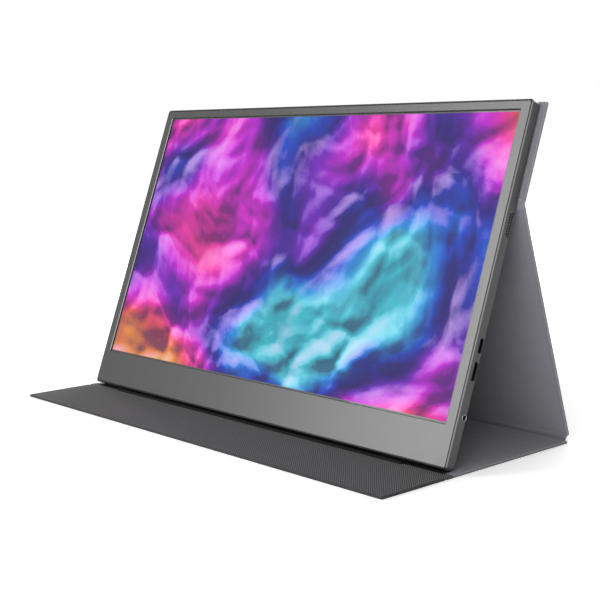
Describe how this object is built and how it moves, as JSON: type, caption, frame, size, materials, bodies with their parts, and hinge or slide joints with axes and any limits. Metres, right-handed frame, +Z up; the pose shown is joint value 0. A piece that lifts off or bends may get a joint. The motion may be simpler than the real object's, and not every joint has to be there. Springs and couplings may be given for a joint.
{
  "type": "portable monitor with folding cover",
  "caption": "Thin flat display on a folding magnetic cover that props it up as an easel, with a flap, a hinged strut, side sockets, a speaker grille, a push button and a menu wheel.",
  "frame": {"origin": "on the table, below the middle of the object's box", "axes": "+X along the display to its right as seen by its user, +Y from the user to the back, +Z up"},
  "size_m": [0.3674, 0.1764, 0.2169],
  "materials": {
    "cover_skin": "smooth satin",
    "stiffener": "matt",
    "lining": "smooth matt",
    "groove": "smooth satin",
    "rib": "satin",
    "woven_cloth": "ribbed weave",
    "magnet": "satin plated",
    "bezel_metal": "fine matt",
    "gasket": "matt",
    "screen_glass": "anti-glare",
    "diffuser": "matt",
    "light_guide": "clear gloss",
    "led": "matt",
    "sheet_metal": "satin",
    "circuit_board": "satin",
    "flex": "satin",
    "ribbon": "satin",
    "screw": "machined",
    "black_plastic": "moulded",
    "port_shell": "nickel",
    "light_pipe": "frosted",
    "housing_metal": "fine matt",
    "foot_rubber": "matt",
    "control_metal": "satin"
  },
  "bodies": {
    "base": {"base_skin": "cover_skin", "base_board": "stiffener", "base_lining": "lining", "groove_strip": "groove", "stop_rib": "rib"},
    "flap": {"flap_cloth": "woven_cloth", "flap_board": "stiffener", "flap_magnets": "magnet", "flap_underside": "lining"},
    "strut": {"strut_skin": "cover_skin", "strut_board": "stiffener", "strut_lining": "lining"},
    "display": {"upper_skin": "cover_skin", "upper_board": "stiffener", "upper_magnets": "magnet", "upper_lining": "lining", "front_bezel": "bezel_metal", "screen_gasket": "gasket", "lcd_cell": "screen_glass", "optical_sheets": "diffuser", "light_guide": "light_guide", "led_bar": "led", "module_tray": "sheet_metal", "source_board": "circuit_board", "panel_flex": "flex", "main_board": "circuit_board", "control_board": "circuit_board", "control_ribbon": "ribbon", "board_screws": "screw", "power_switch": "black_plastic", "data_port": "port_shell", "video_port": "port_shell", "audio_jack": "black_plastic", "status_light": "light_pipe", "speaker_right": "black_plastic", "speaker_left": "black_plastic", "display_magnets": "magnet", "rear_housing": "housing_metal", "foot_pads": "foot_rubber", "wheel_pin": "screw"},
    "power_button": {"power_button": "control_metal"},
    "menu_wheel": {"menu_wheel": "control_metal"}
  },
  "joints": [
    {"name": "rear_fold", "type": "hinge", "parent": "base", "child": "strut", "pos_m": [0, 0.0877, 0.0009], "axis": [-1, 0, 0], "range_deg": [0, 14.5]},
    {"name": "top_fold", "type": "hinge", "parent": "strut", "child": "display", "pos_m": [0, 0.0344, 0.15452], "axis": [1, 0, 0], "range_deg": [0, 24.65]},
    {"name": "flap_fold", "type": "hinge", "parent": "base", "child": "flap", "pos_m": [0, -0.0343, 0.00135], "axis": [-1, 0, 0], "range_deg": [0, 110]},
    {"name": "button_press", "type": "slide", "parent": "display", "child": "power_button", "axis": [1, 0, 0], "range_m": [0, 0.0004], "stiffness_N_per_m": 800},
    {"name": "wheel_turn", "type": "hinge", "parent": "display", "child": "menu_wheel", "pos_m": [-0.1764, -0.00517, 0.0592], "axis": [0, -0.9396, 0.3424], "range_deg": [-12, 12], "stiffness_Nm_per_rad": 0.02}
  ],
  "couplings": [
    {"joint": "top_fold", "follows": "rear_fold", "ratio": 1.7}
  ]
}
